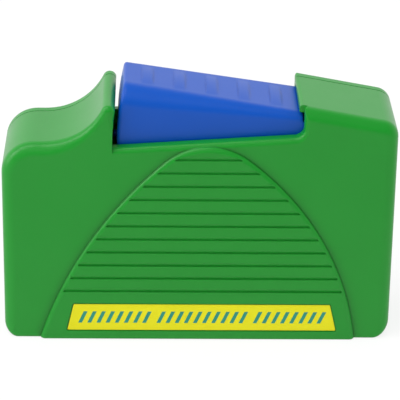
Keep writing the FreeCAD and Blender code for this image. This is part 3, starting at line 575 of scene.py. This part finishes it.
def add_piece(name, points, material, body, slot, *replaced):
    """A smooth shaded mesh from rings of points, riding on a body in place of CAD parts."""
    mesh = bpy.data.meshes.new(name)
    mesh.from_pydata(points.reshape(-1, 3).tolist(), [], closed_tubes(points))
    mesh.shade_smooth()
    mesh.materials.append(material)
    piece = bpy.data.objects.new(name, mesh)
    scene.collection.objects.link(piece)
    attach(piece, body)
    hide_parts(*replaced)
    print(name, len(mesh.polygons), "faces")
    return piece


print("3 rings of 4 points close with", len(closed_tubes(np.zeros((3, 4, 3)))), "faces")

# %% [markdown]
# ## Coil springs
# CAD keeps each coil as a plain faceted solid. A real spring is a round wire with closed ends, so both
# are made again as a tube: a circle carried along a helix. The helix climbs slowly through the dead
# coils at its ends and faster between them, which is one smooth curve of height against turn.

# %% A wire round a helix
dead_turns = 1.0
steps_a_turn = 40


def spring_path(radius, turns, low, high, dead_pitch):
    """Helix about Z. It climbs by the dead pitch for each dead turn at its ends, and makes up the
    rest of its height between them as one smooth step."""
    turn = np.linspace(0, turns, turns * steps_a_turn + 1)
    dead = np.clip(turn, 0, dead_turns) + np.clip(turn - turns + dead_turns, 0, dead_turns)
    share = np.interp(turn, (dead_turns, turns - dead_turns), (0, 1))
    step = share * share * (3 - 2 * share)
    height = low + dead * dead_pitch + step * (high - low - 2 * dead_turns * dead_pitch)
    angle = 2 * np.pi * turn
    return np.stack((radius * np.cos(angle), radius * np.sin(angle), height), axis=1)


def wire_tube(path, wire, sides):
    """Circle of radius wire round each path point, in the plane of two axes square to the path."""
    ahead = np.gradient(path, axis=0)
    ahead /= np.linalg.norm(ahead, axis=1, keepdims=True)
    out = np.cross(ahead, (0, 0, 1))
    out /= np.linalg.norm(out, axis=1, keepdims=True)
    over = np.cross(out, ahead)
    around = np.linspace(0, 2 * np.pi, sides, endpoint=False)[None, :, None]
    return path[:, None] + wire * (np.cos(around) * out[:, None] + np.sin(around) * over[:, None])


print("coils: a ring of wire every", 360 / steps_a_turn, "degrees")

# %% Return spring, squashed by the lever
spring_low, spring_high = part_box("return_spring")
spring_turns = 8
spring_sides = 12
spring_wire = 0.5 * mm
spring_dead_pitch = 2.1 * spring_wire
spring_radius = (spring_high.x - spring_low.x) / 2 - spring_wire

spring_line = spring_path(spring_radius, spring_turns, spring_low.z + spring_wire,
                          spring_high.z - spring_wire, spring_dead_pitch)
wire_steel = drawn_steel("wire_steel", (1, 1, 1))
spring = add_piece("return_spring_wire", wire_tube(spring_line, spring_wire, spring_sides),
                   wire_steel, "case", "steel", "return_spring")
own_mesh(spring)

# %% Clutch spring, round the axis of the drive gear
clutch_low, clutch_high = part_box("clutch_spring")
clutch_middle = (clutch_low + clutch_high) / 2
clutch_length = clutch_high.y - clutch_low.y
clutch_turns = 7
clutch_sides = 10
clutch_wire = 0.35 * mm
clutch_dead_pitch = 2.02 * clutch_wire
clutch_radius = (clutch_high.x - clutch_low.x) / 2 - clutch_wire

clutch_line = spring_path(clutch_radius, clutch_turns, clutch_wire,
                          clutch_length - clutch_wire, clutch_dead_pitch)
standing = wire_tube(clutch_line, clutch_wire, clutch_sides)
lying = np.stack((standing[..., 0] + clutch_middle.x,
                  standing[..., 2] + clutch_low.y,
                  -standing[..., 1] + clutch_middle.z), axis=-1)
add_piece("clutch_spring_wire", lying, wire_steel, "drive_gear", "steel", "clutch_spring")

# %% [markdown]
# ## Case screws
# Four self-tapping screws hold the cover, and CAD keeps them as plain turned pegs. Cutting a cross and
# winding a thread with modifiers leaves untidy faces, so each is one closed surface of turning: a
# profile runs from the middle of the head, over its rim and down the shank to the tip. The cross
# recess and the thread are added to that profile as sums of the angle. The places of the screws are
# read from the CAD part, as the middles of its four groups of corners.

# %% Where the screws sit
screw_low, screw_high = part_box("case_screws")
screw_mesh = parts["case_screws"].data
screw_corners = np.empty(3 * len(screw_mesh.vertices), dtype=np.float32)
screw_mesh.vertices.foreach_get("co", screw_corners)
screw_corners = screw_corners.reshape(-1, 3).astype(float)
upper = screw_corners[:, 2] > (screw_low.z + screw_high.z) / 2
onward = screw_corners[:, 0] > 0
screw_groups = [screw_corners[(upper == high) & (onward == far)] for high in (0, 1) for far in (0, 1)]
screw_tops = np.array([(group.min(axis=0) + group.max(axis=0)) / 2 for group in screw_groups])
screw_tops[:, 1] = screw_high.y
print("tops of the screws in mm:", (screw_tops / mm).round(2).tolist())

# %% Profile of a screw
head_radius = 2.4 * mm
head_height = 1.5 * mm
dome_share = 0.82
dome_drop = 0.18 * mm
rim_drop = 0.35 * mm
shank_radius = 1.05 * mm
tip_length = 1.4 * mm
tip_radius = 0.021 * mm
pole_radius = 0.02 * mm
dome_rings, rim_rings, shank_rings, tip_rings = 26, 6, 110, 12


def screw_profile():
    """Radius and depth along a screw, as two columns: a dome that falls as the square of the radius,
    a rim that is a quarter of an oval, the side of the head, an even shank and a straight tip."""
    length = screw_high.y - screw_low.y
    dome = np.linspace(pole_radius, dome_share * head_radius, dome_rings)
    dome_depth = dome_drop * (dome / head_radius) ** 2
    turn = np.linspace(0, np.pi / 2, rim_rings)[1:]
    rim = head_radius * (dome_share + (1 - dome_share) * np.sin(turn))
    rim_depth = dome_depth[-1] + rim_drop * (1 - np.cos(turn))
    shank = np.full(shank_rings, shank_radius)
    shank_depth = np.linspace(head_height, length - tip_length, shank_rings)
    tip = np.linspace(shank_radius, tip_radius, tip_rings)[1:]
    tip_depth = np.linspace(length - tip_length, length, tip_rings)[1:]
    radius = np.concatenate((dome, rim, [head_radius], shank, tip))
    depth = np.concatenate((dome_depth, rim_depth, [head_height], shank_depth, tip_depth))
    return radius[:, None], depth[:, None]


print("screw profile:", len(screw_profile()[0]), "rings")

# %% Screws with a cross recess and a thread
recess_depth = 0.8 * mm
recess_half_width = 0.36 * mm
recess_reach = 1.45 * mm
recess_wall = 0.12 * mm
recess_slope = 0.3 * mm
thread_height = 0.22 * mm
screw_pitch = 0.9 * mm
thread_steepness = 1.6
thread_stop = 0.5 * shank_radius
screw_sides = 64


def screw_surface():
    """Screw along Y with the top of its head at 0: the profile turned about Y. In a cross of two bars
    the depth grows by the recess. On the shank the radius shrinks between the crests of a wave
    whose phase is the depth over the pitch, less the share of a turn."""
    radius, depth = screw_profile()
    around = np.linspace(0, 2 * np.pi, screw_sides, endpoint=False)[::-1]
    across, up = np.abs(radius * np.cos(around)), np.abs(radius * np.sin(around))
    bar = np.clip((recess_half_width - np.minimum(across, up)) / recess_wall, 0, 1)
    end = np.clip((recess_reach - np.maximum(across, up)) / recess_slope, 0, 1)
    sunk = depth + recess_depth * bar * end * (depth < head_height / 2)
    phase = (depth / screw_pitch - around / (2 * np.pi)) % 1
    crest = np.clip(1 - np.abs(2 * phase - 1) * thread_steepness, 0, 1)
    threaded = (depth > head_height) & (radius > thread_stop)
    wide = radius - thread_height * threaded * (1 - crest)
    return np.stack((wide * np.cos(around), -sunk, wide * np.sin(around)), axis=-1)


add_piece("cross_head_screws", screw_surface() + screw_tops[:, None, None],
          drawn_steel("screw_steel", (1, 1, 1)), "case", "steel", "case_screws")

# %% [markdown]
